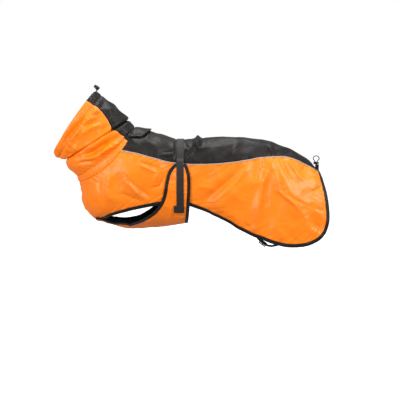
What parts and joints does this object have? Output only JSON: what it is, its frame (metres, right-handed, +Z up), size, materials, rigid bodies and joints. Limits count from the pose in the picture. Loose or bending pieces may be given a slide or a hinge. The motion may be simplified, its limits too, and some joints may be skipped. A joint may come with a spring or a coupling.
{
  "type": "dog winter coat, worn shape",
  "caption": "Hollow dog winter coat with a high soft collar, black back panel, orange sides, a belly panel with wings and a belt over the back",
  "frame": {"origin": "Inside of the back panel under the belt, on the centre line, where the coat rests on its wearer's back", "axes": "+X towards the tail, +Z up, -Y the coat's left side"},
  "size_m": [0.8431, 0.2235, 0.4868],
  "materials": {
    "orange_shell": "water repellent woven polyester with a soft sheen",
    "charcoal_shell": "charcoal woven polyester",
    "binding": "black woven binding tape",
    "webbing": "dark grey woven webbing",
    "reflective_piping": "light grey reflective piping",
    "cord": "braided cord",
    "black_plastic": "moulded plastic"
  },
  "bodies": {
    "root": {"collar_front": "orange_shell", "neckband": "orange_shell", "side_panel_left": "orange_shell", "side_panel_right": "orange_shell", "belly_panel": "orange_shell", "neck_back_panel": "charcoal_shell", "back_panel": "charcoal_shell", "leash_flap": "charcoal_shell", "hem_binding": "binding", "belly_binding_rear": "binding", "belly_binding_front_left": "binding", "belly_binding_front_right": "binding", "tail_tab": "binding", "leg_strap_left": "binding", "leg_strap_right": "binding", "belt_strap": "webbing", "belt_tab": "webbing", "piping_left": "reflective_piping", "piping_right": "reflective_piping", "neck_cord_left": "cord", "neck_cord_right": "cord", "tail_cord": "cord", "neck_cord_lock": "black_plastic", "tail_cord_lock": "black_plastic", "leg_adjuster_left": "black_plastic", "leg_adjuster_right": "black_plastic"}
  },
  "joints": []
}
